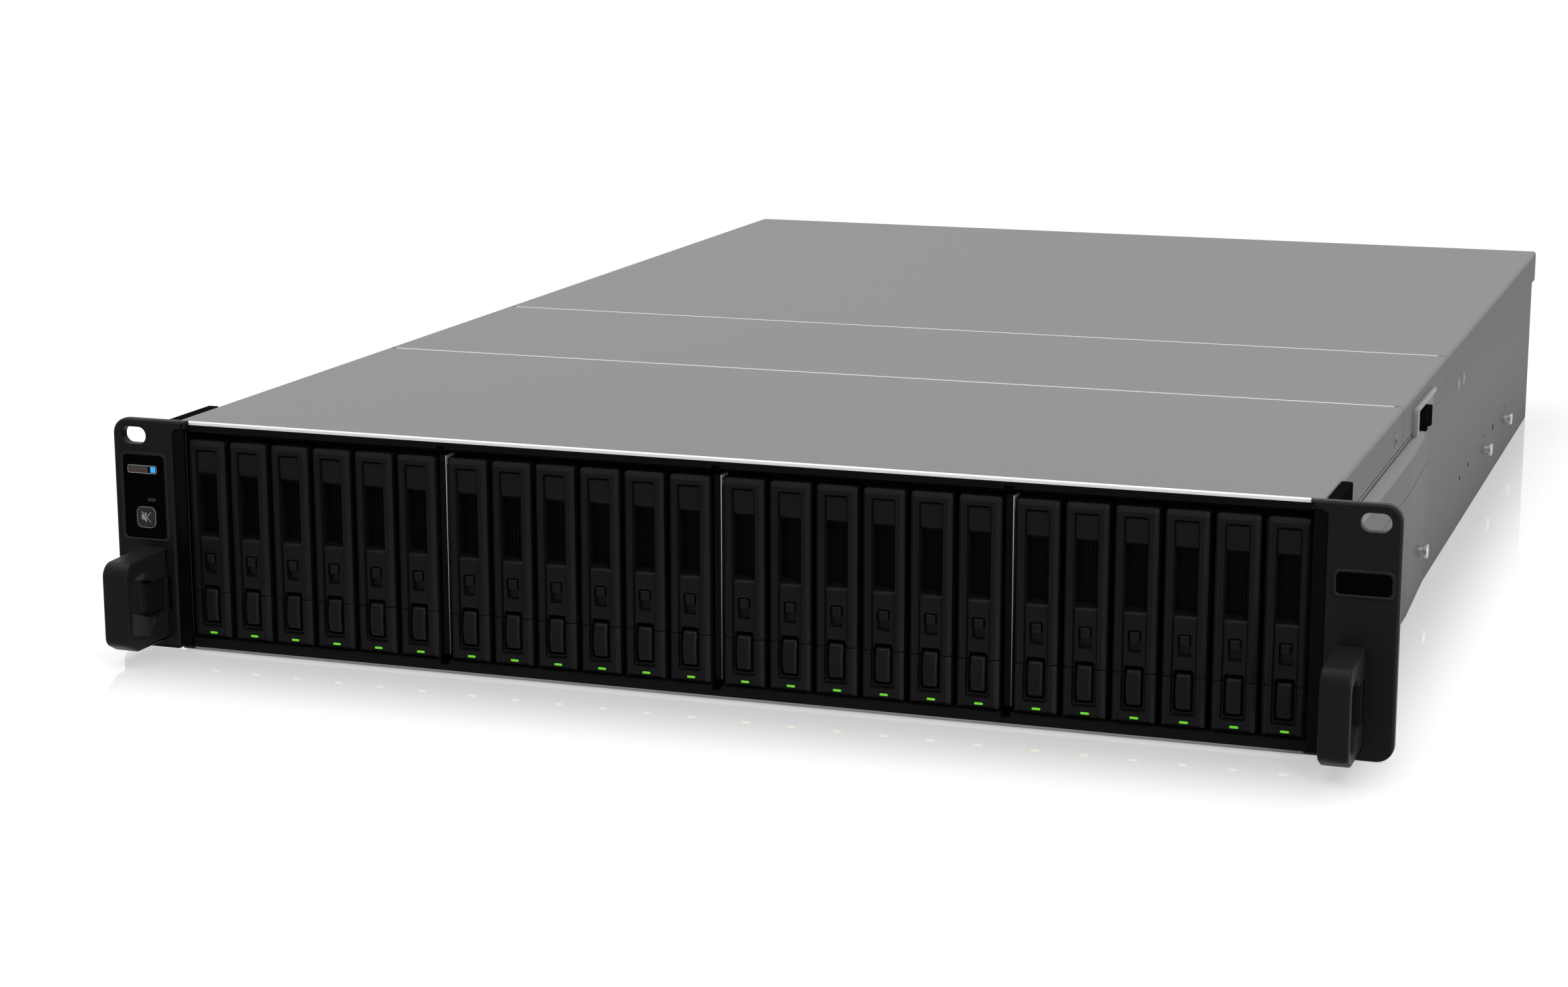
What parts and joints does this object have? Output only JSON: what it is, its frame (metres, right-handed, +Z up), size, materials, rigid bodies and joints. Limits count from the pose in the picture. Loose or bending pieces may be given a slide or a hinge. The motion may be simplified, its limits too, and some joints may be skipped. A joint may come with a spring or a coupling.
{
  "type": "disk shelf enclosure",
  "caption": "Two-unit rack disk shelf with upright hot-swap drive trays across the front, rack ears with pull grips, and slide-out power supplies at the rear.",
  "frame": {"origin": "on the underside, midway between the two side faces and midway between the fronts of the grips and the ends of the rear pulls", "axes": "+X to the right seen from the front, +Y to the rear, +Z up"},
  "size_m": [0.4826, 0.724, 0.0881],
  "materials": {
    "grey_steel": "satin grey powder coat",
    "zinc_steel": "zinc-plated sheet",
    "black_plastic": "fine-textured moulding",
    "gloss_black": "gloss label film",
    "drive_alloy": "bare casting",
    "circuit_board": "solder mask",
    "module_casing": null,
    "button_grey": "satin"
  },
  "bodies": {
    "chassis": {"chassis_base": "grey_steel", "front_cover": "grey_steel", "rear_cover": "grey_steel", "drive_cage": "zinc_steel", "bay_frame": "black_plastic", "left_ear": "black_plastic", "right_ear": "black_plastic", "left_handle": "black_plastic", "right_handle": "black_plastic", "control_panel": "gloss_black", "name_plate": "gloss_black", "backplane": "circuit_board", "fan_frames": "black_plastic", "rail_studs": "zinc_steel", "expander_module": "module_casing"},
    "tray_01": {"tray_01": "black_plastic"},
    "tray_02": {"tray_02": "black_plastic"},
    "tray_03": {"tray_03": "black_plastic"},
    "tray_04": {"tray_04": "black_plastic"},
    "tray_05": {"tray_05": "black_plastic"},
    "tray_06": {"tray_06": "black_plastic"},
    "tray_07": {"tray_07": "black_plastic"},
    "tray_08": {"tray_08": "black_plastic"},
    "tray_09": {"tray_09": "black_plastic"},
    "tray_10": {"tray_10": "black_plastic"},
    "tray_11": {"tray_11": "black_plastic"},
    "tray_12": {"tray_12": "black_plastic"},
    "tray_13": {"tray_13": "black_plastic"},
    "tray_14": {"tray_14": "black_plastic"},
    "tray_15": {"tray_15": "black_plastic"},
    "tray_16": {"tray_16": "black_plastic"},
    "tray_17": {"tray_17": "black_plastic"},
    "tray_18": {"tray_18": "black_plastic"},
    "tray_19": {"tray_19": "black_plastic"},
    "lever_19": {"lever_19": "black_plastic"},
    "tray_20": {"tray_20": "black_plastic"},
    "lever_20": {"lever_20": "black_plastic"},
    "tray_21": {"tray_21": "black_plastic"},
    "lever_21": {"lever_21": "black_plastic"},
    "tray_22": {"tray_22": "black_plastic"},
    "lever_22": {"lever_22": "black_plastic"},
    "tray_23": {"tray_23": "black_plastic"},
    "lever_23": {"lever_23": "black_plastic"},
    "tray_24": {"tray_24": "black_plastic", "drive_24": "drive_alloy"},
    "lever_24": {"lever_24": "black_plastic"},
    "lock_slider_24": {"lock_slider_24": "black_plastic"},
    "eject_button_24": {"eject_button_24": "black_plastic"},
    "mute_button": {"mute_button": "button_grey"},
    "left_rack_latch": {"left_rack_latch": "black_plastic"},
    "right_rack_latch": {"right_rack_latch": "black_plastic"},
    "middle_cover": {"middle_cover": "grey_steel"},
    "cover_latch_left": {"cover_latch_left": "black_plastic"},
    "cover_latch_right": {"cover_latch_right": "black_plastic"},
    "psu_lower": {"psu_lower": "module_casing"},
    "psu_upper": {"psu_upper": "module_casing"},
    "fan_rotor_1": {"fan_rotor_1": "black_plastic"},
    "fan_rotor_2": {"fan_rotor_2": "black_plastic"},
    "fan_rotor_3": {"fan_rotor_3": "black_plastic"},
    "fan_rotor_4": {"fan_rotor_4": "black_plastic"}
  },
  "joints": [
    {"name": "tray_01_slide", "type": "slide", "parent": "chassis", "child": "tray_01", "axis": [0, -1, 0], "range_m": [0, 0.13]},
    {"name": "tray_02_slide", "type": "slide", "parent": "chassis", "child": "tray_02", "axis": [0, -1, 0], "range_m": [0, 0.13]},
    {"name": "tray_03_slide", "type": "slide", "parent": "chassis", "child": "tray_03", "axis": [0, -1, 0], "range_m": [0, 0.13]},
    {"name": "tray_04_slide", "type": "slide", "parent": "chassis", "child": "tray_04", "axis": [0, -1, 0], "range_m": [0, 0.13]},
    {"name": "tray_05_slide", "type": "slide", "parent": "chassis", "child": "tray_05", "axis": [0, -1, 0], "range_m": [0, 0.13]},
    {"name": "tray_06_slide", "type": "slide", "parent": "chassis", "child": "tray_06", "axis": [0, -1, 0], "range_m": [0, 0.13]},
    {"name": "tray_07_slide", "type": "slide", "parent": "chassis", "child": "tray_07", "axis": [0, -1, 0], "range_m": [0, 0.13]},
    {"name": "tray_08_slide", "type": "slide", "parent": "chassis", "child": "tray_08", "axis": [0, -1, 0], "range_m": [0, 0.13]},
    {"name": "tray_09_slide", "type": "slide", "parent": "chassis", "child": "tray_09", "axis": [0, -1, 0], "range_m": [0, 0.13]},
    {"name": "tray_10_slide", "type": "slide", "parent": "chassis", "child": "tray_10", "axis": [0, -1, 0], "range_m": [0, 0.13]},
    {"name": "tray_11_slide", "type": "slide", "parent": "chassis", "child": "tray_11", "axis": [0, -1, 0], "range_m": [0, 0.13]},
    {"name": "tray_12_slide", "type": "slide", "parent": "chassis", "child": "tray_12", "axis": [0, -1, 0], "range_m": [0, 0.13]},
    {"name": "tray_13_slide", "type": "slide", "parent": "chassis", "child": "tray_13", "axis": [0, -1, 0], "range_m": [0, 0.13]},
    {"name": "tray_14_slide", "type": "slide", "parent": "chassis", "child": "tray_14", "axis": [0, -1, 0], "range_m": [0, 0.13]},
    {"name": "tray_15_slide", "type": "slide", "parent": "chassis", "child": "tray_15", "axis": [0, -1, 0], "range_m": [0, 0.13]},
    {"name": "tray_16_slide", "type": "slide", "parent": "chassis", "child": "tray_16", "axis": [0, -1, 0], "range_m": [0, 0.13]},
    {"name": "tray_17_slide", "type": "slide", "parent": "chassis", "child": "tray_17", "axis": [0, -1, 0], "range_m": [0, 0.13]},
    {"name": "tray_18_slide", "type": "slide", "parent": "chassis", "child": "tray_18", "axis": [0, -1, 0], "range_m": [0, 0.13]},
    {"name": "tray_19_slide", "type": "slide", "parent": "chassis", "child": "tray_19", "axis": [0, -1, 0], "range_m": [0, 0.13]},
    {"name": "lever_19_swing", "type": "hinge", "parent": "tray_19", "child": "lever_19", "pos_m": [0.11727, -0.3258, 0.0764], "axis": [-1, 0, 0], "range_deg": [0, 70]},
    {"name": "tray_20_slide", "type": "slide", "parent": "chassis", "child": "tray_20", "axis": [0, -1, 0], "range_m": [0, 0.13]},
    {"name": "lever_20_swing", "type": "hinge", "parent": "tray_20", "child": "lever_20", "pos_m": [0.13454, -0.3258, 0.0764], "axis": [-1, 0, 0], "range_deg": [0, 70]},
    {"name": "tray_21_slide", "type": "slide", "parent": "chassis", "child": "tray_21", "axis": [0, -1, 0], "range_m": [0, 0.13]},
    {"name": "lever_21_swing", "type": "hinge", "parent": "tray_21", "child": "lever_21", "pos_m": [0.15182, -0.3258, 0.0764], "axis": [-1, 0, 0], "range_deg": [0, 70]},
    {"name": "tray_22_slide", "type": "slide", "parent": "chassis", "child": "tray_22", "axis": [0, -1, 0], "range_m": [0, 0.13]},
    {"name": "lever_22_swing", "type": "hinge", "parent": "tray_22", "child": "lever_22", "pos_m": [0.16909, -0.3258, 0.0764], "axis": [-1, 0, 0], "range_deg": [0, 70]},
    {"name": "tray_23_slide", "type": "slide", "parent": "chassis", "child": "tray_23", "axis": [0, -1, 0], "range_m": [0, 0.13]},
    {"name": "lever_23_swing", "type": "hinge", "parent": "tray_23", "child": "lever_23", "pos_m": [0.18637, -0.3258, 0.0764], "axis": [-1, 0, 0], "range_deg": [0, 70]},
    {"name": "tray_24_slide", "type": "slide", "parent": "chassis", "child": "tray_24", "axis": [0, -1, 0], "range_m": [0, 0.13]},
    {"name": "lever_24_swing", "type": "hinge", "parent": "tray_24", "child": "lever_24", "pos_m": [0.20364, -0.3258, 0.0764], "axis": [-1, 0, 0], "range_deg": [0, 70]},
    {"name": "lock_slider_24_slide", "type": "slide", "parent": "lever_24", "child": "lock_slider_24", "axis": [0, 0, -1], "range_m": [0, 0.003]},
    {"name": "eject_button_24_press", "type": "slide", "parent": "tray_24", "child": "eject_button_24", "axis": [0, 1, 0], "range_m": [0, 0.0018], "stiffness_N_per_m": 300, "springref_m": -0.001},
    {"name": "mute_button_press", "type": "slide", "parent": "chassis", "child": "mute_button", "axis": [0, 1, 0], "range_m": [0, 0.0008], "stiffness_N_per_m": 300, "springref_m": -0.001},
    {"name": "left_rack_latch_pull", "type": "slide", "parent": "chassis", "child": "left_rack_latch", "axis": [0, -1, 0], "range_m": [0, 0.006], "stiffness_N_per_m": 300, "springref_m": -0.002},
    {"name": "right_rack_latch_pull", "type": "slide", "parent": "chassis", "child": "right_rack_latch", "axis": [0, -1, 0], "range_m": [0, 0.006], "stiffness_N_per_m": 300, "springref_m": -0.002},
    {"name": "middle_cover_lift", "type": "slide", "parent": "chassis", "child": "middle_cover", "axis": [0, 0, 1], "range_m": [0, 0.08]},
    {"name": "cover_latch_left_slide", "type": "slide", "parent": "middle_cover", "child": "cover_latch_left", "axis": [0, -1, 0], "range_m": [0, 0.006]},
    {"name": "cover_latch_right_slide", "type": "slide", "parent": "middle_cover", "child": "cover_latch_right", "axis": [0, -1, 0], "range_m": [0, 0.006]},
    {"name": "psu_lower_slide", "type": "slide", "parent": "chassis", "child": "psu_lower", "axis": [0, 1, 0], "range_m": [0, 0.195]},
    {"name": "psu_upper_slide", "type": "slide", "parent": "chassis", "child": "psu_upper", "axis": [0, 1, 0], "range_m": [0, 0.195]},
    {"name": "fan_rotor_1_spin", "type": "hinge", "parent": "chassis", "child": "fan_rotor_1", "pos_m": [-0.1605, -0.115, 0.0412], "axis": [0, 1, 0], "continuous": true},
    {"name": "fan_rotor_2_spin", "type": "hinge", "parent": "chassis", "child": "fan_rotor_2", "pos_m": [-0.0535, -0.115, 0.0412], "axis": [0, 1, 0], "continuous": true},
    {"name": "fan_rotor_3_spin", "type": "hinge", "parent": "chassis", "child": "fan_rotor_3", "pos_m": [0.0535, -0.115, 0.0412], "axis": [0, 1, 0], "continuous": true},
    {"name": "fan_rotor_4_spin", "type": "hinge", "parent": "chassis", "child": "fan_rotor_4", "pos_m": [0.1605, -0.115, 0.0412], "axis": [0, 1, 0], "continuous": true}
  ]
}
